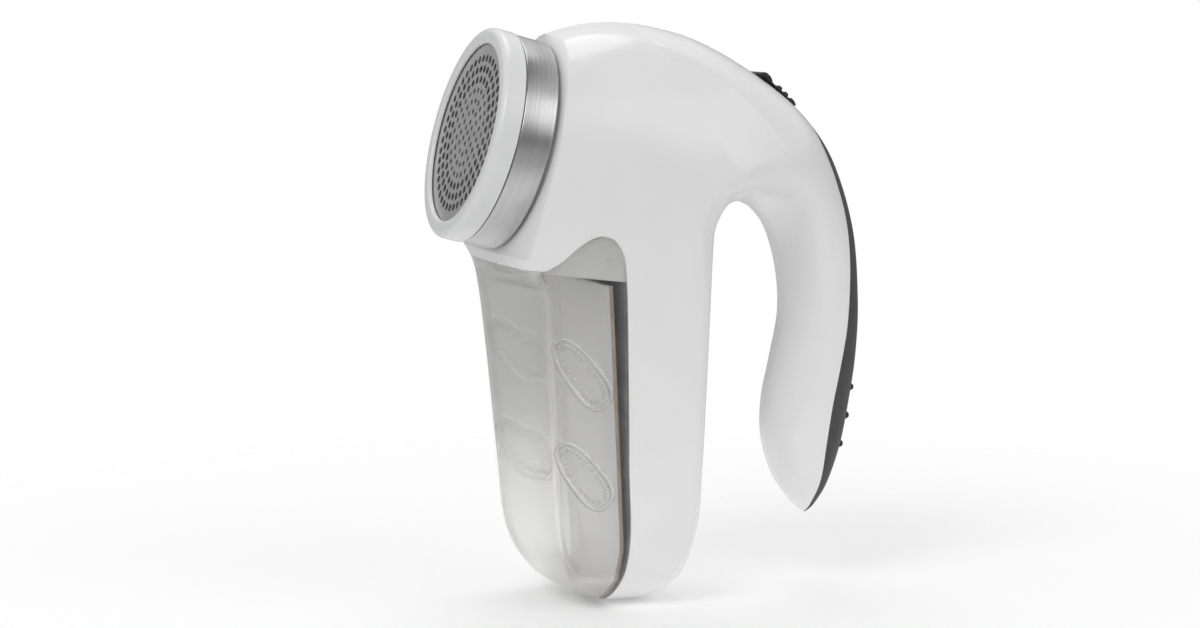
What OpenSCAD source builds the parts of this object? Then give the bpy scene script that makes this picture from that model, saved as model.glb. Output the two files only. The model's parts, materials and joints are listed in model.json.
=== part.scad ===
// Hand-held fabric shaver: an upright column with a hooked handle, a round cutting head on its
// front and a clear lint box that forms the column's front.
// X runs across the two half shells, -Y is the side the head faces and Z is up.

/* [Body] */
// Wall thickness of the two half shells
shell_wall = 2.4; // [2.2:0.1:2.6]
// Depth of the soft grip pad let into the handle's back
pad_depth = 2.4; // [1.8:0.1:2.8]
// Gap between neighbouring covers
parting_gap = 0.3; // [0.25:0.05:0.4]

/* [Cutting head] */
// Upward tilt of the head's axis, in degrees
head_tilt = 15; // [12:1:18]
// Outer diameter of the clear distance guard
guard_od = 65; // [63:0.5:66]
// Outer diameter of the steel retaining ring
ring_od = 64.4; // [62:0.2:64.6]
// Diameter of the opening that shows the foil
foil_opening_d = 55; // [53:0.5:56]
// Number of hole rings in the foil
foil_rings = 7; // [3:1:7]
// Middle size of the foil's holes: the outer three rings are larger and the others smaller
foil_hole_d = 2; // [1.2:0.1:2.2]
// Number of blades
blade_count = 3; // [2:1:4]

/* [Lint box] */
// Wall thickness of the lint box
bin_wall = 1.6; // [1.2:0.1:2]

/* [Power] */
// Diameter of a rechargeable cell
cell_d = 14.5; // [14:0.1:14.8]
// Length of a rechargeable cell
cell_len = 50.5; // [49:0.5:51]
// Diameter of the motor's can
motor_d = 27.7; // [24:0.1:28]
// Bore of the charging inlet
inlet_bore_d = 3.6; // [3.5:0.1:4]

/* [Hidden] */
$fn = 64;

// Flange: the flat front of the housing that carries the head
flange_y = -30.8;
flange_z = 140.3;
flange_r = 35;
crown_rise = 11;
// Share of the half width by which the sides bow inwards at both ends of a rib
side_crown = 0.012;
crown_depth = 42;
head_up = [sin(head_tilt), cos(head_tilt)];
head_out = [-cos(head_tilt), sin(head_tilt)];

// The body is drawn in a working frame whose Y = 0 is the column's middle.
// body_shift moves the middle of the whole object's depth to the origin.
guard_front = 17.5;
front_y = flange_y - guard_front * cos(head_tilt) - guard_od / 2 * sin(head_tilt);
back_y = 81;
body_shift = -(front_y + back_y) / 2;

// Body stations. Each is a rib of the body seen from the side, from the inner end (the gap's side)
// to the outer end: inner Y, Z, outer Y, Z, half width, width at the outer end as a share of it,
// inner edge rounding, outer edge rounding.
STATIONS = [
    [6, 0, -6, 0, 7, 1, 6, 6],
    [12.5, 2.6, -14.8, 2.4, 16, 0.95, 8, 7],
    [19.6, 10, -23.6, 8.6, 24, 0.94, 9, 6],
    [23.2, 25, -29.6, 21, 28, 0.95, 8, 5.5],
    [24.2, 45, -32, 45, 30, 0.95, 8, 5.5],
    [25, 75, -34.4, 75, 32, 0.97, 8, 5.5],
    [25.8, 98, -36.8, 98, 34, 0.98, 9, 5.5],
    [27.4, 112, each flange_point(-33), 35, 0.96, 12, 2],
    [28.2, 114.6, each flange_point(-20), 35, 0.99, 13, 2],
    [29.2, 116.8, each flange_point(0), 35, 1, 13, 2],
    [30.6, 119, each flange_point(20), 35, 1, 13, 2],
    [32, 120.4, each crown_point(0), 35, 1, 13, 3],
    [34, 121.2, each crown_point(8), 35, 1, 13, 4],
    [36.6, 121.7, each crown_point(24), 35, 1, 13, 8],
    [40, 121.7, each crown_point(42), 33.5, 1, 14, 16],
    [45, 120.6, 39, 165.6, 31, 1, 15, 24],
    [50.5, 117, 57, 152.8, 27.5, 1, 15, 22],
    [55, 110, 70, 137, 23, 1, 13, 18],
    [57.6, 98, 78.2, 115, 19, 1, 10.5, 13],
    [57.6, 85, 81, 92, 17.5, 1, 11, 12],
    [54.4, 71, 80.8, 74, 17, 1, 12.5, 13],
    [51.5, 58, 78.6, 58, 16.5, 1, 13, 13],
    [51.6, 46, 75.6, 44, 15.5, 1, 11, 11],
    [55, 34.5, 71.4, 32, 12.5, 1, 7.5, 7.5],
    [60.6, 26, 67.6, 25, 6.5, 1, 3, 3],
    [64.2, 22.4, 65.6, 22.2, 1.5, 1, 0.7, 0.7]
];
last_station = len(STATIONS) - 1;
// Stations on the flange and over the crown
flange_low = 7;
crown_end = 16;
handle_start = 14;

// Where the lint box meets the shells, seen from the side
BIN_EDGE = [
    [-9, -2], [-6.6, 6], [-4.8, 14], [-4.4, 26], [-5.4, 42], [-6, 60], [-7, 85], [-8.2, 104],
    [-9.4, 109.6], [-12, 113.4], [-15.4, 114.8], [-19, 114.2], [-23.4, 111.6], [-28, 107.7],
    [-32.7, 105], [-60, 104.4], [-60, -2]
];
// The housing's chin over the lint box: its underside, then up inside the ears
CHIN = [[-6.9, 101], [-34, 104.4], [-36, 117], [-6.9, 117]];
// The lint box's back plate, from its foot to its top
BACK_PLATE = [[-10.3, 2], [-7.6, 10], [-6.9, 19], [-12.9, 100]];
back_plate_t = 1.2;
inner_wall = 1.8;
// Hairline between the two half shells
seam = 0.02;

// Where the grip pad meets the shells, seen from the side
PAD_EDGE = [
    [60.5, 149], [62, 140.5], [66.2, 130], [70, 120], [72, 110], [72.8, 98], [72.2, 83],
    [70, 70], [67.6, 58], [66, 46], [65.4, 36], [64.4, 25.5], [64.9, 20], [90, 20], [90, 149]
];
// Ribs on the pad: middle Y and Z
RIB_SITES = [[79.1, 62], [77.6, 53], [75.6, 44]];
rib_r = 1.2;
rib_len = 10;

// Thumb switch: its middle on the handle's outline, and how far it leans back
switch_y = 53;
switch_z = 155.9;
switch_lean = 41.3;
switch_travel = 5;
switch_w = 11;
carriage_top = -6.2;
SWITCH_PROFILE = [
    [-8, 0.3], [-7.8, 1.1], [-6.8, 1.8], [-5, 1.8], [-3.8, 1.3], [-3.2, 0.8], [-1.2, 0.8],
    [-0.8, 1.7], [0.4, 1.7], [0.8, 0.9], [1.6, 0.9], [2, 1.6], [3.2, 1.6], [3.6, 0.8],
    [4.4, 0.8], [4.8, 1.4], [6, 1.3], [7.2, 0.9], [7.5, 0.3]
];

// Levels along the head's axis, measured out of the flange
ring_back = 0.3;
ring_front = 10.4;
neck_front = 14;
guard_back = 10.7;
foil_top = 16;
foil_t = 0.4;
foil_r = 28;
outer_hole = 1.2;
inner_hole = 0.85;
collar_r = 28.4;
collar_wall = 1.6;
collar_front = 9;
collar_floor = -10;
carrier_z = 8.4;
blade_top = 15.3;
blade_r = 24.5;
impeller_back = -7.6;
impeller_front = -1.5;
impeller_r = 22;
shaft_r = 1.5;
shaft_clear = 0.06;
motor_front = -17;
motor_len = 30;
motor_boss_r = 5;
hole_ring_step = 3.3;

cell_x = 8.4;
cell_y = 9.6;
cell_z = 22.4;
tray_z = 19;
inlet_z = 14;
inlet_face_y = 21.2;
inlet_r = 4.4;

screw_r = 1.3;
wire_r = 0.7;
boss_r = 3.2;
SCREW_SITES = [[4, 9], [10, 88], [27, 151], [67.5, 98], [63.5, 52]];

function clamp(v, low, high) = min(high, max(low, v));
function mix(a, b, t) = a + (b - a) * t;
function station_row(i) = STATIONS[clamp(i, 0, last_station)];

// A smooth curve through four neighbouring stations, between the middle two
function spline(a, b, c, d, t) = 0.5 * (2 * b + (c - a) * t + (2 * a - 5 * b + 4 * c - d) * t * t
    + (3 * b - a - 3 * c + d) * t * t * t);
function station(s) = let (i = min(floor(s), last_station - 1))
    spline(station_row(i - 1), station_row(i), station_row(i + 1), station_row(i + 2), s - i);

// Height of a side-view point above the head's axis, and its distance in front of the flange
function above_axis(p) = (p - [flange_y, flange_z]) * head_up;
function past_flange(p) = (p - [flange_y, flange_z]) * head_out;
function behind_flange(p) = p - head_out * max(0, past_flange(p));

// The crown rises behind the flange, from the flange's radius to its full height
function crown_height(depth) = flange_r + crown_rise
    * (1 - pow(1 - clamp(depth / crown_depth, 0, 1), 2.6));
function flange_point(height) = [flange_y, flange_z] + head_up * height;
function crown_point(depth) = [flange_y, flange_z] - head_out * depth + head_up * crown_height(depth);
// Share of the half width that the round crown leaves at a side-view point
function crown_share(p) = let (h = above_axis(p) / crown_height(-past_flange(p)))
    h > 0 ? sqrt(max(0, 1 - h * h)) : 1;

// One rib as a loop of [x, y, z] points, drawn inset mm inside the body's surface
INNER_STEPS = [0, 24, 52, 90];
MIDDLE_STEPS = [0.33, 0.67];
OUTER_STEPS = [90, 60, 32, 12, 0];
function rib_half(s, inset) = let (
    row = station(s),
    i0 = [row[0], row[1]],
    o0 = behind_flange([row[2], row[3]]),
    dir = (o0 - i0) / norm(o0 - i0),
    i1 = i0 + dir * inset,
    span = norm(o0 - i0) - 2 * inset,
    w = row[4] - inset,
    r_in = min(max(row[6] - inset, 0.5), 0.49 * span),
    r_out = min(max(row[7] - inset, 0.4), span - r_in - 0.02 * span),
    round_end = clamp((s - crown_end + 3) / 3, 0, 1),
    steps = [
        for (a = INNER_STEPS) [r_in * (1 - cos(a)), sin(a)],
        for (m = MIDDLE_STEPS) [mix(r_in, span - r_out, m), 1],
        for (a = OUTER_STEPS) [span - r_out * (1 - cos(a)), outer_edge(s, a)]
    ])
    [for (q = steps) let (
        p = i1 + dir * q[0],
        far = clamp((q[0] / span - 0.3) / 0.7, 0, 1),
        taper = 1 - (1 - row[5]) * far * far - side_crown * pow(2 * q[0] / span - 1, 2),
        crown = s < flange_low ? 1 : mix(crown_share(p + head_up * inset), 1, round_end))
        [w * taper * q[1] * crown, p[0], p[1]]];
// The column has tighter outer corners than the head and the handle
function outer_edge(s, a) = s < flange_low ? pow(sin(a), 0.55) : sin(a);
function rib_loop(s, inset) = let (
    half = rib_half(s, inset),
    n = len(half))
    concat(half, [for (i = [n - 2:-1:1]) [-half[i][0], half[i][1], half[i][2]]]);

// Closed solid through the ribs at the given station values, inset mm inside the body's surface,
// and deeper by under_pad in the handle
module ribbed_solid(stations, inset, under_pad = 0) {
    loops = [for (s = stations) rib_loop(s, inset + under_pad * clamp(s - handle_start, 0, 1))];
    n = len(loops[0]);
    rows = len(loops);
    points = [for (l = loops) each l];
    sides = [
        for (r = [0:rows - 2], k = [0:n - 1]) let (k2 = (k + 1) % n)
            [[r * n + k, r * n + k2, (r + 1) * n + k2], [r * n + k, (r + 1) * n + k2, (r + 1) * n + k]]
    ];
    far = (rows - 1) * n;
    caps = [
        for (k = [0:n / 2 - 1]) let (a = (n - k) % n, b = n - k - 1)
            each [
                k == 0 ? [0, b, 1] : k == b - 1 ? [k, a, b] : [k, a, b, k + 1],
                k == 0 ? [far, far + 1, far + b] : k == b - 1 ? [far + k, far + b, far + a]
                    : [far + k, far + k + 1, far + b, far + a]
            ]
    ];
    polyhedron(points, concat([for (pair = sides) each pair], caps), convexity = 10);
}
function steps(from, to, count) = [for (i = [0:count]) mix(from, to, i / count)];

BODY_STEPS = concat(steps(0, 3, 6), [4, 6], steps(7, 11, 5), steps(12, 16, 6), steps(17, 24, 10), [25]);
BOX_STEPS = concat(steps(0.8, 3, 4), [4, 6], steps(7, 9, 3));
CAVITY_STEPS = concat(steps(0.8, 3, 4), [4, 6], steps(7, 11, 5), steps(12, 23.5, 14));
HANDLE_STEPS = steps(14.5, 24.2, 14);
// What stands on the inside of the shells starts and ends within their walls
FOOTED_STEPS = concat(steps(0.45, 3, 4), [4, 6], steps(7, 11, 5), steps(12, 23.8, 14));
big = 120;

module placed() {
    translate([0, body_shift, 0]) children();
}
// Working frame to head frame: +Z out of the flange along the head's axis
module on_head() {
    translate([0, flange_y, flange_z]) rotate([90 - head_tilt, 0, 0]) children();
}
// Working frame to switch frame: +Y along the switch's travel, +Z out of the handle
module on_switch() {
    translate([0, switch_y, switch_z]) rotate([-switch_lean, 0, 0]) children();
}
// A side-view outline, extruded over the body's whole width
module side_plate(outline, half_width = big / 2) {
    rotate([90, 0, 90]) linear_extrude(2 * half_width, center = true) polygon(outline);
}
module tube(r_out, r_in, z0, z1) {
    translate([0, 0, z0]) difference() {
        cylinder(h = z1 - z0, r = r_out);
        translate([0, 0, -1]) cylinder(h = z1 - z0 + 2, r = r_in);
    }
}

// Evaluates a freeform shell as a single surface, at its own size
module one_surface() {
    resize([0, 0, 0]) children();
}
module body_solid() {
    ribbed_solid(BODY_STEPS, 0);
}
module bin_region(gap) {
    side_plate([for (p = BIN_EDGE) p.x > -30 ? p + [gap, p.y > 104 ? gap : 0] : p + [0, gap]]);
}
// Strip of given thickness along a side-view line
function strip(line, thickness) = concat(line,
    [for (i = [len(line) - 1:-1:0]) line[i] + thickness]);
BIN_REAR = [for (i = [0:7]) BIN_EDGE[i]];

// Room for the lint box: its whole region, apart from the housing's chin inside its ears
module bin_cut() {
    difference() {
        bin_region(parting_gap);
        intersection() {
            ribbed_solid(BOX_STEPS, bin_wall + parting_gap);
            side_plate(CHIN);
        }
    }
}
// Walls inside the shells: behind the lint box, over it, and inside its ears
module inner_walls() {
    intersection() {
        ribbed_solid(FOOTED_STEPS, shell_wall / 2);
        union() {
            side_plate(strip([for (p = BIN_REAR) p - [1, 0]], [1 + parting_gap + inner_wall, 0]));
            difference() {
                side_plate([for (p = CHIN) p - [0, 1]]);
                intersection() {
                    ribbed_solid(BOX_STEPS, bin_wall + parting_gap + inner_wall);
                    side_plate([[-1, 102.8], [-40, 106.4], [-40, 120], [-1, 120]]);
                }
            }
        }
    }
}
module housing() {
    difference() {
        union() {
            difference() {
                body_solid();
                ribbed_solid(CAVITY_STEPS, shell_wall, pad_depth);
            }
            inner_walls();
            intersection() {
                ribbed_solid(FOOTED_STEPS, shell_wall / 2, pad_depth);
                for (site = SCREW_SITES)
                    translate([-big / 2, site.x, site.y]) rotate([0, 90, 0])
                        cylinder(h = big, r = boss_r, $fn = 20);
            }
        }
        bin_cut();
        // recess for the grip pad
        difference() {
            side_plate(PAD_EDGE);
            ribbed_solid(HANDLE_STEPS, pad_depth + 0.1);
        }
        on_head() translate([0, 0, -6]) cylinder(h = 20, r = collar_r + 0.1);
        on_switch() translate([-3, -2.5, -8]) cube([6, 5 + switch_travel, 12]);
        translate([0, inlet_face_y - 14, inlet_z]) rotate([-90, 0, 0]) cylinder(h = 30, r = inlet_r + 0.1);
        translate([-10, -34.5, 100]) cube([20, 9, 8]);
        for (site = SCREW_SITES)
            translate([-big / 2, site.x, site.y]) rotate([0, 90, 0])
                cylinder(h = big / 2 + 8, r = screw_r + 0.25, $fn = 16);
    }
}
module housing_right() {
    color("whitesmoke") one_surface() placed() intersection() {
        housing();
        translate([0, -big, -10]) cube([big / 2, 2 * big, 2 * big]);
    }
}
module housing_left() {
    color("whitesmoke") one_surface() placed() intersection() {
        housing();
        translate([-big / 2, -big, -10]) cube([big / 2 - seam, 2 * big, 2 * big]);
    }
}

module grip_pad() {
    color("dimgray") one_surface() placed() difference() {
        intersection() {
            body_solid();
            side_plate(PAD_EDGE);
        }
        ribbed_solid(HANDLE_STEPS, pad_depth);
    }
}
module grip_ribs() {
    color("black") placed()
        for (site = RIB_SITES)
            translate([0, site.x, site.y]) rotate([0, 90, 0])
                cylinder(h = rib_len, r = rib_r, center = true);
}

module switch_button() {
    color("black") placed() on_switch() {
        rotate([90, 0, 90]) linear_extrude(switch_w, center = true) polygon(SWITCH_PROFILE);
        translate([-2, -1.5, carriage_top]) cube([4, 3, 0.6 - carriage_top]);
    }
}
module switch_carriage() {
    color("dimgray") placed() on_switch() translate([-5, -5, carriage_top - 3.6]) cube([10, 10, 3.6]);
}
module switch_body() {
    color("silver") placed() on_switch() translate([-6, -8, carriage_top - 9.8]) cube([12, 21, 5.8]);
}

module lint_bin() {
    color([0.85, 0.85, 0.83, 0.4]) placed() difference() {
        intersection() {
            body_solid();
            bin_region(0);
        }
        ribbed_solid(BOX_STEPS, bin_wall);
    }
}
module lint_bin_back() {
    color("tan") placed() intersection() {
        ribbed_solid(BOX_STEPS, bin_wall + 0.1);
        side_plate(strip(BACK_PLATE, [back_plate_t, 0]));
    }
}
module bin_catch() {
    color("silver") placed() translate([-4, -7.05, 72]) {
        translate([0, 0, -7]) cube([8, 0.5, 14]);
        translate([0, -0.1, 0]) rotate([0, 90, 0]) cylinder(h = 8, r = 0.9);
    }
}

// Rings of holes, each with as many holes as leave about the same web between them
module foil_holes() {
    for (ring = [1:foil_rings]) {
        holes = round(2 * 3.1416 * ring * hole_ring_step / 3.4);
        for (i = [0:holes - 1])
            rotate(360 * (i + 0.5 * (ring % 2)) / holes) translate([ring * hole_ring_step, 0])
                circle(d = foil_hole_d * (ring > foil_rings - 3 ? outer_hole : inner_hole), $fn = 16);
    }
}
module foil() {
    color("silver") placed() on_head() {
        translate([0, 0, foil_top - foil_t]) linear_extrude(foil_t) difference() {
            circle(r = foil_r - 0.3);
            circle(d = foil_hole_d * inner_hole, $fn = 16);
            foil_holes();
        }
        tube(foil_r, foil_r - 0.4, ring_front + 0.2, foil_top);
        tube(foil_r + 1, foil_r - 0.1, ring_front + 0.2, ring_front + 0.7);
    }
}
module foil_ring() {
    color("gray") placed() on_head() {
        tube(ring_od / 2, collar_r + 0.4, ring_back, ring_front);
        tube(collar_r + 0.5, foil_r - 0.4, collar_front + 0.5, ring_front);
        tube(30.4, foil_r + 1.2, ring_front - 0.1, neck_front);
    }
}
module guard_ring() {
    r = guard_od / 2;
    round_r = 2;
    edge = [for (a = [0:15:90])
        [r - round_r + round_r * cos(a), guard_front - round_r + round_r * sin(a)]];
    color("white", 0.8) placed() on_head() rotate_extrude() polygon(concat(
        [[30.7, guard_back], [r, guard_back]], edge,
        [[foil_opening_d / 2 + 0.7, guard_front], [foil_opening_d / 2, guard_front - 0.6],
            [foil_opening_d / 2, foil_top + 0.4], [foil_r + 0.4, foil_top + 0.4],
            [30.7, neck_front + 0.4]]));
}

module head_collar() {
    color("whitesmoke") placed() difference() {
        union() {
            on_head() translate([0, 0, collar_floor])
                cylinder(h = collar_front - collar_floor, r = collar_r);
            translate([-11.5, -33.6, 107]) cube([23, 9.4, 9.4]);
        }
        on_head() translate([0, 0, collar_floor + collar_wall])
            cylinder(h = 30, r = collar_r - collar_wall);
        on_head() translate([0, 0, collar_floor - 1]) cylinder(h = 6, r = shaft_r + 0.8);
        translate([-10, -32.4, 100]) cube([20, 6.8, 20]);
    }
}
module blade_carrier() {
    color("dimgray") placed() on_head() difference() {
        union() {
            translate([0, 0, carrier_z]) cylinder(h = 2.2, r = 10);
            translate([0, 0, 3]) cylinder(h = 6, r = 4);
            for (i = [0:blade_count - 1])
                rotate(360 * i / blade_count) translate([7, -2.5, carrier_z + 0.3]) cube([15, 5, 1.6]);
        }
        translate([0, 0, -10]) cylinder(h = 30, r = shaft_r);
    }
}
module blades() {
    color("silver") placed() on_head()
        for (i = [0:blade_count - 1])
            rotate(360 * i / blade_count) translate([3, -0.4, carrier_z + 2.2])
                cube([blade_r - 3, 0.8, blade_top - carrier_z - 2.2]);
}
module blade_spring() {
    color("silver") placed() on_head()
        for (i = [0:3]) translate([0, 0, -0.6 + i]) rotate_extrude() translate([2.6, 0]) circle(r = 0.45);
}
module impeller() {
    color("gray") placed() on_head() difference() {
        union() {
            translate([0, 0, impeller_back]) cylinder(h = 1.2, r = impeller_r);
            translate([0, 0, impeller_back]) cylinder(h = impeller_front - impeller_back, r = 4.5);
            for (i = [0:7])
                rotate(45 * i) translate([4, -0.6, impeller_back + 1])
                    cube([impeller_r - 4.5, 1.2, impeller_front - impeller_back - 1]);
        }
        translate([0, 0, -20]) cylinder(h = 40, r = shaft_r);
    }
}
module drive_shaft() {
    color("silver") placed() on_head() translate([0, 0, motor_front - motor_len - 1.5])
        cylinder(h = carrier_z + 2.2 - motor_front + motor_len + 1.5, r = shaft_r);
}
module motor_rotor() {
    color("peru") placed() on_head() tube(9.5, shaft_r, motor_front - motor_len + 5, motor_front - 4);
}
module motor_can() {
    color("silver") placed() on_head() difference() {
        union() {
            translate([0, 0, motor_front - motor_len]) cylinder(h = motor_len, r = motor_d / 2);
            translate([0, 0, motor_front - 1]) cylinder(h = 3, r = motor_boss_r);
        }
        translate([0, 0, motor_front - motor_len - 1]) cylinder(h = motor_len - 1, r = motor_d / 2 - 1);
        translate([0, 0, motor_front - 5]) cylinder(h = 10, r = shaft_r + shaft_clear);
        for (x = [-9, 9]) translate([x, 0, motor_front - 3]) cylinder(h = 5, r = 1.3);
    }
}
module motor_cap() {
    color("black") placed() on_head()
        tube(motor_d / 2 - 0.1, shaft_r + shaft_clear, motor_front - motor_len - 2, motor_front - motor_len);
}
module motor_mount() {
    color("whitesmoke") placed() on_head() difference() {
        translate([0, 0, motor_front]) cylinder(h = 2.4, r = 19);
        translate([0, 0, motor_front - 1]) cylinder(h = 5, r = motor_boss_r + 0.1);
        for (x = [-9, 9]) translate([x, 0, motor_front - 1]) cylinder(h = 5, r = 1.3);
    }
}
module motor_screws() {
    color("silver") placed() on_head()
        for (x = [-9, 9]) translate([x, 0, motor_front - 1.8]) {
            cylinder(h = 4.4, r = 1.2);
            translate([0, 0, 4.2]) cylinder(h = 1.3, r = 2.3);
        }
}

module cell() {
    cylinder(h = cell_len - 1, r = cell_d / 2);
    translate([0, 0, cell_len - 1.2]) cylinder(h = 1.2, r = 2.7);
}
module cell_left() {
    color("seagreen") placed() translate([-cell_x, cell_y, cell_z]) cell();
}
module cell_right() {
    color("seagreen") placed() translate([cell_x, cell_y, cell_z]) cell();
}
module cell_tray() {
    color("gray") placed() difference() {
        translate([-17.5, 1, tray_z]) cube([35, 16.5, cell_len + 7.1]);
        for (x = [-cell_x, cell_x])
            translate([x, cell_y, tray_z + 1.4]) cylinder(h = cell_len + 4.3, r = cell_d / 2 + 0.2);
        translate([-14, 8, tray_z + 5]) cube([28, 12, cell_len - 3.5]);
    }
}
module cell_contacts() {
    color("gold") placed() for (x = [-cell_x, cell_x]) {
        translate([x, cell_y, tray_z + 1.5]) cylinder(h = 0.5, r = 5.5);
        for (i = [0:1]) translate([x, cell_y, tray_z + 2.4 + 0.5 * i])
            rotate_extrude() translate([3.4 - 0.7 * i, 0]) circle(r = 0.35);
        translate([x, cell_y, cell_z + cell_len + 0.1]) cylinder(h = 0.5, r = 4.5);
    }
}
module circuit_board() {
    color("darkgreen") placed() {
        translate([-13, -2.6, 78]) cube([26, 1.6, 20]);
        translate([-8, -1, 81]) cube([6, 2.4, 5]);
        translate([3, -1, 88]) cube([5, 3, 5]);
    }
}
module inlet_jack() {
    color("black") placed() translate([0, inlet_face_y, inlet_z]) rotate([90, 0, 0]) difference() {
        cylinder(h = 12, r = inlet_r);
        translate([0, 0, -1]) cylinder(h = 11, d = inlet_bore_d);
    }
}
module inlet_contacts() {
    color("gold") placed() for (x = [-2.2, 1.6])
        translate([x, inlet_face_y - 14.8, inlet_z - 1.2]) cube([0.6, 2.8, 2.4]);
}
module housing_screws() {
    color("silver") placed() for (i = [0:len(SCREW_SITES) - 1]) {
        site = SCREW_SITES[i];
        reach = i < 3 ? 19 : 9;
        translate([-reach, site.x, site.y]) rotate([0, 90, 0]) cylinder(h = reach + 6, r = screw_r);
        translate([-reach - 1.6, site.x, site.y]) rotate([0, 90, 0]) cylinder(h = 1.7, r = screw_r + 0.1);
    }
}
// Round wire along a route of [y, z] points in the plane at x
module wire(x, route) {
    sides = 8;
    last = len(route) - 1;
    rings = [for (i = [0:last]) let (
        ahead = route[min(i + 1, last)] - route[max(i - 1, 0)],
        across = [-ahead.y, ahead.x] / norm(ahead))
        [for (k = [0:sides - 1]) let (side = across * wire_r * sin(360 * k / sides))
            [x + wire_r * cos(360 * k / sides), route[i].x + side.x, route[i].y + side.y]]];
    skin = [for (i = [0:last - 1], k = [0:sides - 1]) let (k2 = (k + 1) % sides)
        [i * sides + k, i * sides + k2, (i + 1) * sides + k2, (i + 1) * sides + k]];
    polyhedron([for (ring = rings) each ring], concat(skin,
        [[for (k = [sides - 1:-1:0]) k]], [[for (k = [0:sides - 1]) last * sides + k]]));
}
module leads() {
    color("firebrick") placed() {
        wire(7, [[-0.6, 98.6], [0, 101], [2, 104], [6, 107], [11, 109.4], [15, 111.6]]);
        wire(-8, [[-0.6, 98.6], [0, 101], [4, 105], [12, 108], [22, 113], [28, 124], [33, 136], [39, 143]]);
    }
}

housing_right();
housing_left();
grip_pad();
grip_ribs();
switch_button();
switch_carriage();
switch_body();
lint_bin();
lint_bin_back();
bin_catch();
foil();
foil_ring();
guard_ring();
head_collar();
blade_carrier();
blades();
blade_spring();
impeller();
drive_shaft();
motor_rotor();
motor_can();
motor_cap();
motor_mount();
motor_screws();
cell_left();
cell_right();
cell_tray();
cell_contacts();
circuit_board();
inlet_jack();
inlet_contacts();
housing_screws();
leads();
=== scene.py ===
import json
import math
import bpy
import bmesh
import numpy as np
from mathutils import Matrix, Vector
from mathutils.bvhtree import BVHTree

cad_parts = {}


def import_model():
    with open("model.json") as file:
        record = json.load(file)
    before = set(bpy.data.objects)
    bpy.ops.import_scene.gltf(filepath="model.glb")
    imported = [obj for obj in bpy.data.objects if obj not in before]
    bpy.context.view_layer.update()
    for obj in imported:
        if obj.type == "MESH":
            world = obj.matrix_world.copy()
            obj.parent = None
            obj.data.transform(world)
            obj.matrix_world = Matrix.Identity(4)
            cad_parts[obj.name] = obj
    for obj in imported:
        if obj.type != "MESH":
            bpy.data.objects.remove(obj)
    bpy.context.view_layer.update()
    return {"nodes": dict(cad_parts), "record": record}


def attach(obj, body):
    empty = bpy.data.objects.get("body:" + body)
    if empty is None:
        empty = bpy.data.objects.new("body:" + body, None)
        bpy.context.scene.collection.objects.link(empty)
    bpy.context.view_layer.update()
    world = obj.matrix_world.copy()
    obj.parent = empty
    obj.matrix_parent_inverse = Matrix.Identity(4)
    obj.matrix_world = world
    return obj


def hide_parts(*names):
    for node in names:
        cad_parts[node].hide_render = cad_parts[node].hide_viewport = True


# A fabric shaver: two glossy half shells, a clear lint box, a steel foil head with a frosted
# distance guard, and a soft grip pad. Outlines are in mm in the part's working frame, whose Y = 0
# is the column's middle. place() turns them into the row's metres.

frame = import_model()
record = frame["record"]
MM = 0.001


# ---------------------------------------------------------------- sizes, from the frame

joints = {j["name"]: j for j in record["behaviour"]["joints"]}
HEAD_POS = Vector(joints["foil_holder_turn"]["pos_m"])
HEAD_AXIS = Vector(joints["foil_holder_turn"]["axis"]).normalized()
SWITCH_TRAVEL = joints["switch_slide"]["range_m"][1] / MM
FLANGE_Y = -30.8
SHIFT = HEAD_POS.y / MM - FLANGE_Y
FLANGE = np.array([FLANGE_Y, HEAD_POS.z / MM])
HEAD_TILT = math.asin(HEAD_AXIS.z)
HEAD_UP = np.array([math.sin(HEAD_TILT), math.cos(HEAD_TILT)])
HEAD_OUT = np.array([-math.cos(HEAD_TILT), math.sin(HEAD_TILT)])
FLANGE_R = 35
CROWN_RISE = 11
CROWN_DEPTH = 42
SIDE_CROWN = 0.012

SHELL_WALL = 2.4
PAD_DEPTH = 2.4
GAP = 0.3
BIN_WALL = 1.6
INNER_WALL = 1.8
BIG = 120
SKIN = 0.2


def flange_point(height):
    return FLANGE + HEAD_UP * height


def crown_height(depth):
    share = min(max(depth / CROWN_DEPTH, 0), 1)
    return FLANGE_R + CROWN_RISE * (1 - (1 - share) ** 2.6)


def crown_point(depth):
    return FLANGE - HEAD_OUT * depth + HEAD_UP * crown_height(depth)


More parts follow.
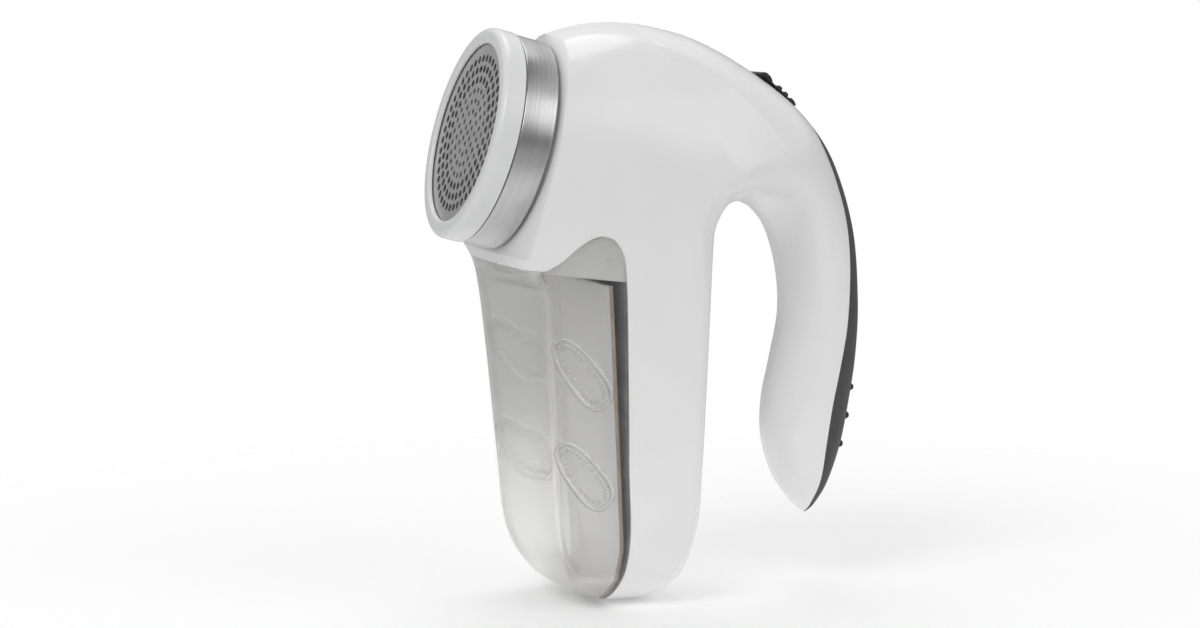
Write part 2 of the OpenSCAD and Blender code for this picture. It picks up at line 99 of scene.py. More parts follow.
# Ribs of the body seen from the side, as in the CAD: inner Y, Z, outer Y, Z, half width, width at
# the outer end as a share of it, inner and outer edge rounding
STATIONS = np.array([
    [6, 0, -6, 0, 7, 1, 6, 6],
    [12.5, 2.6, -14.8, 2.4, 16, 0.95, 8, 7],
    [19.6, 10, -23.6, 8.6, 24, 0.94, 9, 6],
    [23.2, 25, -29.6, 21, 28, 0.95, 8, 5.5],
    [24.2, 45, -32, 45, 30, 0.95, 8, 5.5],
    [25, 75, -34.4, 75, 32, 0.97, 8, 5.5],
    [25.8, 98, -36.8, 98, 34, 0.98, 9, 5.5],
    [27.4, 112, *flange_point(-33), 35, 0.96, 12, 2],
    [28.2, 114.6, *flange_point(-20), 35, 0.99, 13, 2],
    [29.2, 116.8, *flange_point(0), 35, 1, 13, 2],
    [30.6, 119, *flange_point(20), 35, 1, 13, 2],
    [32, 120.4, *crown_point(0), 35, 1, 13, 3],
    [34, 121.2, *crown_point(8), 35, 1, 13, 4],
    [36.6, 121.7, *crown_point(24), 35, 1, 13, 8],
    [40, 121.7, *crown_point(42), 33.5, 1, 14, 16],
    [45, 120.6, 39, 165.6, 31, 1, 15, 24],
    [50.5, 117, 57, 152.8, 27.5, 1, 15, 22],
    [55, 110, 70, 137, 23, 1, 13, 18],
    [57.6, 98, 78.2, 115, 19, 1, 10.5, 13],
    [57.6, 85, 81, 92, 17.5, 1, 11, 12],
    [54.4, 71, 80.8, 74, 17, 1, 12.5, 13],
    [51.5, 58, 78.6, 58, 16.5, 1, 13, 13],
    [51.6, 46, 75.6, 44, 15.5, 1, 11, 11],
    [55, 34.5, 71.4, 32, 12.5, 1, 7.5, 7.5],
    [60.6, 26, 67.6, 25, 6.5, 1, 3, 3],
    [64.2, 22.4, 65.6, 22.2, 1.5, 1, 0.7, 0.7],
], float)
LAST = len(STATIONS) - 1
FLANGE_LOW, FLANGE_HIGH, CROWN_FULL, CROWN_END, HANDLE_START = 7, 11, 14, 16, 14
CROWN_DEPTHS = [0, 8, 24, 42]

# Where the lint box and the grip pad meet the shells, seen from the side
BIN_REAR = [
    (-9, -2), (-6.6, 6), (-4.8, 14), (-4.4, 26), (-5.4, 42), (-6, 60), (-7, 85), (-8.2, 104),
    (-9.4, 109.6), (-12, 113.4), (-15.4, 114.8), (-19, 114.2), (-23.4, 111.6), (-28, 107.7),
    (-32.7, 105),
]
BIN_FRONT = [(-60, 104.4), (-60, -2)]
CHIN = [(-6.9, 101), (-34, 104.4), (-36, 117), (-6.9, 117)]
PAD_EDGE = [
    (60.5, 149), (62, 140.5), (66.2, 130), (70, 120), (72, 110), (72.8, 98), (72.2, 83),
    (70, 70), (67.6, 58), (66, 46), (65.4, 36), (64.4, 25.5), (64.9, 20),
]
PAD_BACK = [(90, 20), (90, 149)]
RIB_SITES = [(79.1, 62), (77.6, 53), (75.6, 44)]

# Levels along the head's axis, out of the flange
RING_BACK, RING_FRONT, RING_R = 0.3, 10.4, 32.2
GUARD_BACK, GUARD_FRONT, GUARD_R = 10.7, 17.5, 32.5
FOIL_TOP, FOIL_T, FOIL_R, OPENING_R = 16, 0.4, 28, 27.5
COLLAR_R = 28.4
NECK_FRONT = 14
HOLE_RINGS, HOLE_STEP, INNER_HOLE_R, OUTER_HOLE_R = 7, 3.3, 0.85, 1.2

SWITCH_Y, SWITCH_Z, SWITCH_LEAN, SWITCH_W = 53, 155.9, 41.3, 11
SWITCH_PROFILE = [
    (-8, 0.3), (-7.8, 1.1), (-6.8, 1.8), (-5, 1.8), (-3.8, 1.3), (-3.2, 0.8), (-1.2, 0.8),
    (-0.8, 1.7), (0.4, 1.7), (0.8, 0.9), (1.6, 0.9), (2, 1.6), (3.2, 1.6), (3.6, 0.8),
    (4.4, 0.8), (4.8, 1.4), (6, 1.3), (7.2, 0.9), (7.5, 0.3),
]
CARRIAGE_TOP = -6.2
INLET_FACE_Y, INLET_Z, INLET_R = 21.2, 14, 4.4
SCREW_SITES = [(4, 9), (10, 88), (27, 151), (67.5, 98), (63.5, 52)]
SCREW_HOLE_R, SCREW_HOLE_END = 1.4, 8
CHUTE_LOW, CHUTE_HIGH = (-10, -34.5, 100), (10, -25.5, 108)
SEAM = 0.02
FIT = 0.1
GRIP_SITES = ((-21, 74, 25, 11), (-19.5, 43, 24, 11))
GRIP_LEAN, GRIP_INSET, GRIP_BUMPS, RIM_R, BUMP_R = 38, 4, 26, 0.75, 0.8
DIMPLE = (-13.5, 108)
RIB_LENGTH, RIB_R = 10, 1.2
LARGE_HOLE_RINGS = 3


# ---------------------------------------------------------------- the body's surface

def blend_four(a, b, c, d, t):
    return 0.5 * (2 * b + (c - a) * t + (2 * a - 5 * b + 4 * c - d) * t * t
                  + (3 * b - a - 3 * c + d) * t ** 3)


def station(s):
    """A smooth row at s. The outer end keeps its corners at both ends of the flange."""
    i = min(int(s), LAST - 1)
    t = s - i
    rows = [STATIONS[min(max(k, 0), LAST)] for k in range(i - 1, i + 3)]
    row = blend_four(*rows, t)
    low, high = 0, LAST
    for corner in (FLANGE_LOW, FLANGE_HIGH):
        if i >= corner:
            low = corner
        elif high == LAST:
            high = corner
    ends = [STATIONS[min(max(k, low), high), 2:4] for k in range(i - 1, i + 3)]
    row[2:4] = blend_four(*ends, t)
    if FLANGE_HIGH <= s < CROWN_FULL:
        row[2:4] = crown_point(np.interp(s - FLANGE_HIGH, range(4), CROWN_DEPTHS))
    return row


def clamp(v, low=0.0, high=1.0):
    return min(high, max(low, v))


def rib(s, inset, fine):
    """One rib as a loop of points, inset mm inside the surface."""
    row = station(s)
    inner, outer = row[:2], row[2:4]
    past = (outer - FLANGE) @ HEAD_OUT
    outer = outer - HEAD_OUT * max(0, past)
    whole = np.linalg.norm(outer - inner)
    along = (outer - inner) / whole
    start = inner + along * inset
    span = whole - 2 * inset
    half = row[4] - inset
    r_in = min(max(row[6] - inset, 0.5), 0.49 * span)
    r_out = min(max(row[7] - inset, 0.4), span - r_in - 0.02 * span)
    power = 0.55 + 0.45 * clamp(s - FLANGE_LOW + 1)
    arc = np.linspace(0, math.pi / 2, fine)
    tight = math.pi / 2 * np.linspace(0, 1, fine + 4) ** 1.6
    reach = np.concatenate([
        r_in * (1 - np.cos(arc)),
        np.linspace(r_in, span - r_out, fine + 4)[1:-1],
        span - r_out * (1 - np.cos(tight[::-1])),
    ])
    edge = np.concatenate([np.sin(arc), np.ones(fine + 2), np.sin(tight[::-1]) ** power])
    share = reach / span
    far = np.clip((share - 0.3) / 0.7, 0, 1)
    taper = 1 - (1 - row[5]) * far ** 2 - SIDE_CROWN * (2 * share - 1) ** 2
    yz = start + np.outer(reach, along)
    crown = np.ones(len(reach))
    if s >= FLANGE_LOW:
        round_end = clamp((s - CROWN_END + 3) / 3)
        lifted = yz + HEAD_UP * inset
        up = (lifted - FLANGE) @ HEAD_UP
        height = np.array([crown_height(-d) for d in (lifted - FLANGE) @ HEAD_OUT])
        ratio = np.where(up > 0, up / height, 0)
        crown = np.sqrt(np.clip(1 - ratio ** 2, 0, 1))
        crown = crown + (1 - crown) * round_end
    x = half * taper * edge * crown
    points = np.column_stack([x, yz])
    mirrored = points[-2:0:-1] * [-1, 1, 1]
    return np.vstack([points, mirrored])


def place(points):
    """Working frame in mm to the row's metres."""
    return (np.asarray(points, float) + [0, SHIFT, 0]) * MM


def head_matrix():
    up = Vector((0, HEAD_UP[0], HEAD_UP[1]))
    turn = Matrix((Vector((1, 0, 0)), up, HEAD_AXIS)).transposed().to_4x4()
    return Matrix.Translation(HEAD_POS) @ turn @ Matrix.Scale(MM, 4)


def switch_matrix():
    return (Matrix.Translation(Vector((0, SWITCH_Y + SHIFT, SWITCH_Z)) * MM)
            @ Matrix.Rotation(-math.radians(SWITCH_LEAN), 4, "X") @ Matrix.Scale(MM, 4))


HEAD = head_matrix()
SWITCH = switch_matrix()


# ---------------------------------------------------------------- mesh tools

def new_object(name, verts, faces, matrix=None):
    mesh = bpy.data.meshes.new(name)
    mesh.from_pydata([tuple(v) for v in verts], [], faces)
    if matrix is not None:
        mesh.transform(matrix)
    mesh.validate()
    bm = bmesh.new()
    bm.from_mesh(mesh)
    bmesh.ops.recalc_face_normals(bm, faces=bm.faces)
    bm.to_mesh(mesh)
    bm.free()
    obj = bpy.data.objects.new(name, mesh)
    bpy.context.scene.collection.objects.link(obj)
    return obj


def body_form(name, stations, inset, under_pad=0.0, fine=9):
    """Closed solid through the ribs at the given station values."""
    loops = [rib(s, inset + under_pad * clamp(s - HANDLE_START), fine) for s in stations]
    n = len(loops[0])
    rows = len(loops)
    faces = []
    for r in range(rows - 1):
        for k in range(n):
            k2 = (k + 1) % n
            faces.append((r * n + k, r * n + k2, (r + 1) * n + k2, (r + 1) * n + k))
    for base in (0, (rows - 1) * n):
        for k in range(n // 2):
            corners = [base + k, base + k + 1, base + (n - k - 1) % n, base + (n - k) % n]
            faces.append(tuple(dict.fromkeys(corners)))
    return new_object(name, place(np.vstack(loops)), faces)


def prism(name, outline):
    """A side-view outline, extruded across the body."""
    n = len(outline)
    verts = [(x, y, z) for x in (-BIG / 2, BIG / 2) for y, z in outline]
    faces = [tuple(range(n)), tuple(range(2 * n - 1, n - 1, -1))]
    faces += [(k, (k + 1) % n, (k + 1) % n + n, k + n) for k in range(n)]
    return new_object(name, place(verts), faces)


def lathe(name, profile, sides=256):
    """A closed profile of (radius, height), turned about the head's axis."""
    angles = [2 * math.pi * i / sides for i in range(sides)]
    n = len(profile)
    verts = [(r * math.cos(a), r * math.sin(a), h) for a in angles for r, h in profile]
    faces = []
    for i in range(sides):
        j = (i + 1) % sides
        faces += [(i * n + k, j * n + k, j * n + (k + 1) % n, i * n + (k + 1) % n)
                  for k in range(n)]
    return new_object(name, verts, faces, HEAD)


def disc(name, r, z0, z1, sides=96, matrix=None):
    turns = [2 * math.pi * i / sides for i in range(sides)]
    ring = [(r * math.cos(a), r * math.sin(a)) for a in turns]
    verts = [(x, y, z) for z in (z0, z1) for x, y in ring]
    faces = [tuple(range(sides)), tuple(range(2 * sides - 1, sides - 1, -1))]
    faces += [(k, (k + 1) % sides, (k + 1) % sides + sides, k + sides) for k in range(sides)]
    return new_object(name, verts, faces, HEAD if matrix is None else matrix)


def block(name, low, high, matrix=None):
    x0, y0, z0 = low
    x1, y1, z1 = high
    verts = [(x, y, z) for x in (x0, x1) for y in (y0, y1) for z in (z0, z1)]
    faces = [(0, 1, 3, 2), (4, 6, 7, 5), (0, 4, 5, 1), (2, 3, 7, 6), (0, 2, 6, 4), (1, 5, 7, 3)]
    if matrix is None:
        return new_object(name, place(verts), faces)
    return new_object(name, verts, faces, matrix)


def half_space(name, side, edge):
    """Everything past edge on one side, with its flat face in small cells."""
    cell = 6
    ys = np.arange(-84, 100, cell)
    zs = np.arange(-6, 192, cell)
    verts = [(edge, y, z) for z in zs for y in ys] + [(side * BIG, y, z) for z in zs for y in ys]
    n, rows = len(ys), len(zs)
    faces = []
    for base in (0, n * rows):
        for i in range(rows - 1):
            for k in range(n - 1):
                a = base + i * n + k
                faces.append((a, a + 1, a + n + 1, a + n))
    rim = [k for k in range(n)] + [i * n + n - 1 for i in range(1, rows)]
    rim += [(rows - 1) * n + k for k in range(n - 2, -1, -1)]
    rim += [i * n for i in range(rows - 2, 0, -1)]
    for i, a in enumerate(rim):
        b = rim[(i + 1) % len(rim)]
        faces.append((a, b, b + n * rows, a + n * rows))
    return new_object(name, place(verts), faces)


def remove(*objects):
    for obj in objects:
        mesh = obj.data
        bpy.data.objects.remove(obj)
        bpy.data.meshes.remove(mesh)


def freeze(obj):
    """Applies every modifier."""
    graph = bpy.context.evaluated_depsgraph_get()
    mesh = bpy.data.meshes.new_from_object(obj.evaluated_get(graph))
    old = obj.data
    obj.modifiers.clear()
    obj.data = mesh
    bpy.data.meshes.remove(old)
    return obj


def combine(obj, operation, *tools):
    """Joins, cuts or intersects obj with each tool in turn."""
    for tool in tools:
        step = obj.modifiers.new("step", "BOOLEAN")
        step.operation = operation
        step.solver = "MANIFOLD"
        step.object = tool
        freeze(obj)
    remove(*tools)
    return obj


def copy_of(obj, name):
    twin = bpy.data.objects.new(name, obj.data.copy())
    bpy.context.scene.collection.objects.link(twin)
    return twin


def shade(obj, angle=32):
    obj.data.shade_smooth()
    obj.data.set_sharp_from_angle(angle=math.radians(angle))
    return obj


def smooth_line(points, parts=6):
    """More points on a smooth curve through the given ones."""
    points = np.array(points, float)
    out = []
    for i in range(len(points) - 1):
        rows = [points[min(max(k, 0), len(points) - 1)] for k in range(i - 1, i + 3)]
        out += [blend_four(*rows, t / parts) for t in range(parts)]
    return [tuple(p) for p in out] + [tuple(points[-1])]


def bin_region(name, gap):
    rear = [(y + gap, z + (gap if z > 104 else 0)) for y, z in smooth_line(BIN_REAR)]
    return prism(name, rear + [(y, z + gap) for y, z in BIN_FRONT])


def steps(low, high, count):
    return [low + (high - low) * i / count for i in range(count + 1)]


# ---------------------------------------------------------------- materials

def material(name, tones, roughness, grain=400.0, relief=0.0, relief_grain=2500.0, stretch=None,
             turn=None, wave=None, **values):
    """Two tones mixed by noise, a roughness range from noise, and a fine relief."""
    mat = bpy.data.materials.new(name)
    mat.use_nodes = True
    tree = mat.node_tree
    nodes, links = tree.nodes, tree.links
    shader = nodes["Principled BSDF"]
    where = nodes.new("ShaderNodeTexCoord")
    mapping = nodes.new("ShaderNodeMapping")
    links.new(where.outputs["Object"], mapping.inputs["Vector"])
    if turn is not None:
        mapping.vector_type = "TEXTURE"
        mapping.inputs["Rotation"].default_value = turn
    if stretch is not None:
        mapping.inputs["Scale"].default_value = [1 / value for value in stretch]
    noise = nodes.new("ShaderNodeTexNoise")
    noise.inputs["Scale"].default_value = grain
    noise.inputs["Detail"].default_value = 4.0
    links.new(mapping.outputs["Vector"], noise.inputs["Vector"])
    ramp = nodes.new("ShaderNodeValToRGB")
    ramp.color_ramp.elements[0].position = 0.3
    ramp.color_ramp.elements[1].position = 0.7
    ramp.color_ramp.elements[0].color = (*tones[0], 1)
    ramp.color_ramp.elements[1].color = (*tones[1], 1)
    links.new(noise.outputs["Fac"], ramp.inputs["Fac"])
    links.new(ramp.outputs["Color"], shader.inputs["Base Color"])
    span = nodes.new("ShaderNodeMapRange")
    span.inputs["To Min"].default_value = roughness[0]
    span.inputs["To Max"].default_value = roughness[1]
    links.new(noise.outputs["Fac"], span.inputs["Value"])
    links.new(span.outputs["Result"], shader.inputs["Roughness"])
    if relief:
        fine = nodes.new("ShaderNodeTexNoise")
        fine.inputs["Scale"].default_value = relief_grain
        fine.inputs["Detail"].default_value = 3.0
        links.new(mapping.outputs["Vector"], fine.inputs["Vector"])
        bump = nodes.new("ShaderNodeBump")
        bump.inputs["Strength"].default_value = relief
        bump.inputs["Distance"].default_value = 0.0002
        links.new(fine.outputs["Fac"], bump.inputs["Height"])
        links.new(bump.outputs["Normal"], shader.inputs["Normal"])
    for key, value in values.items():
        shader.inputs[key.replace("_", " ")].default_value = value
    return mat


def plain(value, warm=0.0):
    return (value + warm, value, value - warm)


HEAD_TURN = (math.pi / 2 - HEAD_TILT, 0, 0)
MATERIALS = {
    "shell_white": material("shell_white", [plain(0.87), plain(0.89)], (0.2, 0.27), 60,
                            relief=0.02, relief_grain=900, Coat_Weight=0.35, Coat_Roughness=0.08),
    "grip_rubber": material("grip_rubber", [plain(0.045), plain(0.062)], (0.5, 0.62), 300,
                            relief=0.25, relief_grain=2600),
    "black_rubber": material("black_rubber", [plain(0.012), plain(0.02)], (0.45, 0.6), 500,
                             relief=0.2),
    "black_plastic": material("black_plastic", [plain(0.012), plain(0.022)], (0.32, 0.45), 600,
                              relief=0.12),
    "grey_plastic": material("grey_plastic", [plain(0.24), plain(0.3)], (0.4, 0.5), 500,
                             relief=0.1),
    "collar_plastic": material("collar_plastic", [plain(0.78), plain(0.83)], (0.28, 0.36), 200,
                               relief=0.03),
    "clear_plastic": material("clear_plastic", [(0.9, 0.9, 0.885), (0.93, 0.93, 0.92)],
                              (0.03, 0.08), 90, relief=0.03, relief_grain=140,
                              Transmission_Weight=1.0, IOR=1.46, Alpha=0.64),
    # Used only on the back plate's side edges, where its darker tan is painted shade.
    "amber_plastic": material("amber_plastic", [(0.42, 0.34, 0.26), (0.5, 0.41, 0.32)],
                              (0.3, 0.4), 300, relief=0.04),
    "pale_plate": material("pale_plate", [plain(0.88, 0.006), plain(0.92, 0.006)], (0.25, 0.35), 60,
                           relief=0.02, relief_grain=500),
    "frosted_plastic": material("frosted_plastic", [plain(0.9, -0.004), plain(0.93, -0.003)],
                                (0.24, 0.3), 40, relief=0.01, relief_grain=300,
                                Transmission_Weight=0.12, IOR=1.45, Coat_Weight=0.3,
                                Coat_Roughness=0.1),
    "foil_steel": material("foil_steel", [plain(0.72), plain(0.79)], (0.34, 0.42), 260,
                           relief=0.04, Metallic=1.0),
    "brushed_ring": material("brushed_ring", [plain(0.46), plain(0.6)], (0.2, 0.3), 1.0,
                             relief=0.14, relief_grain=2.0, stretch=(25, 25, 5200), turn=HEAD_TURN,
                             Metallic=1.0, Anisotropic=0.5),
    "blade_steel": material("blade_steel", [plain(0.5), plain(0.6)], (0.2, 0.3), 400,
                            relief=0.05, Metallic=1.0),
    "spring_steel": material("spring_steel", [plain(0.42), plain(0.5)], (0.25, 0.35), 500,
                             relief=0.05, Metallic=1.0),
    "motor_steel": material("motor_steel", [plain(0.45), plain(0.56, 0.01)], (0.3, 0.42), 250,
                            relief=0.06, Metallic=1.0),
    "screw_steel": material("screw_steel", [plain(0.4), plain(0.5)], (0.28, 0.4), 800,
                            relief=0.08, Metallic=1.0),
    "contact_metal": material("contact_metal", [(0.66, 0.6, 0.45), (0.74, 0.68, 0.52)],
                              (0.25, 0.35), 400, relief=0.04, Metallic=1.0),
    "copper": material("copper", [(0.62, 0.28, 0.14), (0.74, 0.37, 0.2)], (0.3, 0.42), 1.0,
                       relief=0.4, relief_grain=1.5, stretch=(60, 60, 2600), turn=HEAD_TURN,
                       Metallic=1.0),
    "cell_wrap": material("cell_wrap", [(0.05, 0.2, 0.1), (0.07, 0.26, 0.13)], (0.25, 0.35), 150,
                          relief=0.03),
    "board": material("board", [(0.02, 0.1, 0.045), (0.03, 0.15, 0.06)], (0.35, 0.5), 900,
                      relief=0.1),
    "wire_red": material("wire_red", [(0.45, 0.02, 0.015), (0.55, 0.035, 0.02)], (0.3, 0.4), 500,
                         relief=0.05),
}


def finish(obj, body, slot, *nodes, angle=32):
    """Shades a piece, gives it its finish and lets it ride on a body in place of CAD nodes."""
    shade(obj, angle)
    obj.data.materials.clear()
    obj.data.materials.append(MATERIALS[slot])
    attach(obj, body)
    if nodes:
        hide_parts(*nodes)
    return obj


# ---------------------------------------------------------------- shells, lint box, grip pad

BODY_STEPS = (steps(0, 3, 44) + steps(3, 7, 60)[1:] + steps(7, 11, 24)[1:]
              + steps(11, 14, 54)[1:] + steps(14, 25, 132)[1:])
HEAD_STEPS = steps(7, 11, 8)[1:] + steps(11, 14, 9)[1:]
CAVITY_STEPS = steps(0.8, 7, 24) + HEAD_STEPS + steps(14, 23.5, 24)[1:]
FOOTED_STEPS = steps(0.45, 7, 24) + HEAD_STEPS + steps(14, 23.8, 24)[1:]
BOX_STEPS = steps(0.8, 7, 60) + steps(7, 9, 8)[1:]
HANDLE_STEPS = steps(14.5, 24.2, 60)


def bin_cut():
    cheek = body_form("cheek", BOX_STEPS, BIN_WALL + GAP)
    combine(cheek, "INTERSECT", prism("chin", CHIN))
    return combine(bin_region("bin_room", GAP), "DIFFERENCE", cheek)


def inner_walls():
    front = [(y - 1, z) for y, z in BIN_REAR[:8]]
    back = [(y + GAP + INNER_WALL, z) for y, z in BIN_REAR[:8]]
    walls = prism("walls", front + back[::-1])
    chin = prism("chin_walls", [(y, z - 1) for y, z in CHIN])
    hollow = body_form("hollow", BOX_STEPS, BIN_WALL + GAP + INNER_WALL)
    combine(hollow, "INTERSECT",
            prism("over_chin", [(-1, 102.8), (-40, 106.4), (-40, 120), (-1, 120)]))
    combine(chin, "DIFFERENCE", hollow)
    combine(walls, "UNION", chin)
    return combine(walls, "INTERSECT", body_form("footed", FOOTED_STEPS, SHELL_WALL / 2))


def cross_rod(name, y, z, r, x0, x1, sides=40):
    turn = Matrix.Rotation(math.pi / 2, 4, "Y")
    return disc(name, r, x0, x1, sides,
                Matrix.Translation(Vector((0, y + SHIFT, z)) * MM) @ turn @ Matrix.Scale(MM, 4))


def housing():
    shell = body_form("housing", BODY_STEPS, SKIN, fine=13)
    combine(shell, "DIFFERENCE", body_form("cavity", CAVITY_STEPS, SHELL_WALL, PAD_DEPTH))
    combine(shell, "UNION", inner_walls())
    pad_room = prism("pad_room", smooth_line(PAD_EDGE) + PAD_BACK)
    combine(pad_room, "DIFFERENCE", body_form("under_pad", HANDLE_STEPS, PAD_DEPTH + FIT))
    inlet = Matrix.Translation(Vector((0, INLET_FACE_Y + SHIFT, INLET_Z)) * MM)
    inlet = inlet @ Matrix.Rotation(math.pi / 2, 4, "X") @ Matrix.Scale(MM, 4)
    cuts = [
        bin_cut(), pad_room, disc("neck", COLLAR_R + FIT, -6, 14),
        block("switch_slot", (-3, -2.5, -8), (3, 2.5 + SWITCH_TRAVEL, 4), SWITCH),
        disc("inlet_room", INLET_R + FIT, -14, 14, 64, inlet),
        block("lint_chute", CHUTE_LOW, CHUTE_HIGH),
    ]
    cuts += [cross_rod("screw_room", y, z, SCREW_HOLE_R, -BIG / 2, SCREW_HOLE_END)
             for y, z in SCREW_SITES]
    combine(shell, "DIFFERENCE", *cuts)
    left = copy_of(shell, "housing_shell_left")
    combine(left, "INTERSECT", half_space("left_side", -1, -SEAM))
    right = shell
    right.name = "housing_shell_right"
    combine(right, "INTERSECT", half_space("right_side", 1, SEAM))
    finish(right, "body", "shell_white", "housing_right")
    finish(left, "body", "shell_white", "housing_left")


def lint_box():
    box = body_form("lint_box_shell", steps(0, 7, 150) + steps(7, 9, 20)[1:], SKIN, fine=22)
    combine(box, "INTERSECT", bin_region("bin_form", 0))
    surface = BVHTree.FromPolygons([v.co[:] for v in box.data.vertices],
                                   [p.vertices[:] for p in box.data.polygons])
    combine(box, "DIFFERENCE", body_form("bin_inside", BOX_STEPS, BIN_WALL))
    finish(box, "lint_box", "clear_plastic", "lint_bin")
    return surface


def grip_pad():
    pad = body_form("grip_pad_skin", steps(14, 25, 150), SKIN, fine=13)
    combine(pad, "INTERSECT", prism("pad_form", smooth_line(PAD_EDGE) + PAD_BACK))
    combine(pad, "DIFFERENCE", body_form("pad_inside", HANDLE_STEPS, PAD_DEPTH))
    finish(pad, "body", "grip_rubber", "grip_pad")


def back_plate():
    """The lint box's back plate: pale faces, with its two side edges coloured a darker tan as
    painted shade.
    """
    source = frame["nodes"]["lint_bin_back"]
    plate = bpy.data.objects.new("lint_box_back_plate", source.data.copy())
    bpy.context.scene.collection.objects.link(plate)
    bevel(plate, 0.15, 2)
    finish(plate, "lint_box", "amber_plastic", "lint_bin_back")
    plate.data.materials.clear()
    plate.data.materials.append(MATERIALS["pale_plate"])
    plate.data.materials.append(MATERIALS["amber_plastic"])
    # Faces that point across the body, the plate's side edges, get the darker tan: painted shade on
    # the edges.
    for face in plate.data.polygons:
        face.material_index = 1 if abs(face.normal.x) > 0.4 else 0


# ---------------------------------------------------------------- head

def arc(cx, cy, r, a0, a1, count=6):
    """Points on a rounded corner of a lathe profile, between two angles in degrees."""
    return [(cx + r * math.cos(math.radians(a)), cy + r * math.sin(math.radians(a)))
            for a in steps(a0, a1, count)]


def foil_ring():
    edge = 0.35
    profile = arc(RING_R - edge, RING_BACK + edge, edge, -90, 0)
    profile += arc(RING_R - edge, RING_FRONT - edge, edge, 0, 90)
    profile += [(30.4, RING_FRONT), (30.4, NECK_FRONT), (FOIL_R + 1.2, NECK_FRONT),
                (FOIL_R + 1.2, RING_FRONT), (FOIL_R - 0.4, RING_FRONT), (FOIL_R - 0.4, 9.5),
                (COLLAR_R + 0.4, 9.5), (COLLAR_R + 0.4, RING_BACK)]
    finish(lathe("foil_ring_band", profile), "foil_holder", "brushed_ring", "foil_ring")


def guard():
    profile = arc(GUARD_R - 0.4, GUARD_BACK + 0.4, 0.4, -90, 0)
    profile += arc(GUARD_R - 2, GUARD_FRONT - 2, 2, 0, 90, 10)
    profile += arc(OPENING_R + 0.7, GUARD_FRONT - 0.7, 0.7, 90, 180)
    profile += [(OPENING_R, FOIL_TOP + 0.4), (FOIL_R + 0.4, FOIL_TOP + 0.4),
                (30.7, NECK_FRONT + 0.4), (30.7, GUARD_BACK)]
    ring = lathe("guard_rim", profile, 288)
    finish(ring, "guard", "frosted_plastic", "guard_ring")


def foil():
    """A flat sheet with true holes, larger in the outer rings, on a plain skirt."""
    ring_sides = 16
    sheet = disc("foil_sheet", FOIL_R, FOIL_TOP - FOIL_T, FOIL_TOP, 256)
    holes_v, holes_f = [], []

    def add_hole(x, y, r):
        base = len(holes_v)
        for z in (FOIL_TOP - FOIL_T - 1, FOIL_TOP + 1):
            for i in range(ring_sides):
                a = 2 * math.pi * i / ring_sides
                holes_v.append((x + r * math.cos(a), y + r * math.sin(a), z))
        n = ring_sides
        holes_f.append(tuple(base + i for i in range(n)))
        holes_f.append(tuple(base + 2 * n - 1 - i for i in range(n)))
        for i in range(n):
            j = (i + 1) % n
            holes_f.append((base + i, base + j, base + n + j, base + n + i))

    add_hole(0, 0, INNER_HOLE_R)
    for ring in range(1, HOLE_RINGS + 1):
        count = round(2 * 3.1416 * ring * HOLE_STEP / 3.4)
        for i in range(count):
            a = 2 * math.pi * (i + 0.5 * (ring % 2)) / count
            add_hole(ring * HOLE_STEP * math.cos(a), ring * HOLE_STEP * math.sin(a),
                     OUTER_HOLE_R if ring > HOLE_RINGS - LARGE_HOLE_RINGS else INNER_HOLE_R)
    combine(sheet, "DIFFERENCE", new_object("foil_holes", holes_v, holes_f, HEAD))
    skirt = [(FOIL_R, FOIL_TOP - 0.05), (FOIL_R - 0.4, FOIL_TOP - 0.05),
             (FOIL_R - 0.4, RING_FRONT + 0.2), (FOIL_R + 1, RING_FRONT + 0.2),
             (FOIL_R + 1, RING_FRONT + 0.7), (FOIL_R, RING_FRONT + 0.7)]
    combine(sheet, "UNION", lathe("foil_skirt", skirt, 256))
    finish(sheet, "foil_holder", "foil_steel", "foil")


# ---------------------------------------------------------------- switch, ribs

def bevel(obj, width, segments=3):
    step = obj.modifiers.new("edges", "BEVEL")
    step.width = width * MM
    step.segments = segments
    step.limit_method = "ANGLE"
    step.angle_limit = math.radians(25)
    return freeze(obj)


def switch():
    n = len(SWITCH_PROFILE)
    half = SWITCH_W / 2
    verts = [(x, y, z) for x in (-half, half) for y, z in SWITCH_PROFILE]
    faces = [tuple(range(n)), tuple(range(2 * n - 1, n - 1, -1))]
    faces += [(k, (k + 1) % n, (k + 1) % n + n, k + n) for k in range(n)]
    button = bevel(new_object("thumb_slide", verts, faces, SWITCH), 0.22)
    stem = bevel(block("stem", (-2, -1.5, CARRIAGE_TOP), (2, 1.5, 0.6), SWITCH), 0.2)
    combine(button, "UNION", stem)
    finish(button, "switch", "black_plastic", "switch_button")


def pad_ribs():
    """Three short rounded bars across the grip pad."""
    verts, faces = [], []
    length, r, rings, sides = RIB_LENGTH, RIB_R, 9, 24
    for y, z in RIB_SITES:
        base = len(verts)
        count = 0
        for end in (-1, 1):
            for i in range(rings):
                a = math.radians(90 * i / (rings - 1))
                if end > 0:
                    a = math.radians(90) - a
                x = end * (length / 2 - r + r * math.cos(a))
                rr = max(r * math.sin(a), 0.02)
                verts += [(x, y + rr * math.cos(2 * math.pi * k / sides),
                           z + rr * math.sin(2 * math.pi * k / sides)) for k in range(sides)]
                count += 1
        for c in range(count - 1):
            for k in range(sides):
                k2 = (k + 1) % sides
                faces.append((base + c * sides + k, base + c * sides + k2,
                              base + (c + 1) * sides + k2, base + (c + 1) * sides + k))
        faces.append(tuple(base + k for k in range(sides)))
        faces.append(tuple(base + (count - 1) * sides + k for k in range(sides - 1, -1, -1)))
    finish(new_object("pad_ribs", place(verts), faces), "body", "black_rubber", "grip_ribs")


# ---------------------------------------------------------------- grips on the lint box

def wall_x(surface, y, z, side):
    """Where the lint box's outer wall is, at a side-view point."""
    origin = Vector((side * BIG, y + SHIFT, z)) * MM
    hit = surface.ray_cast(origin, Vector((-side, 0, 0)))
    return hit[0].x / MM if hit[0] is not None else None


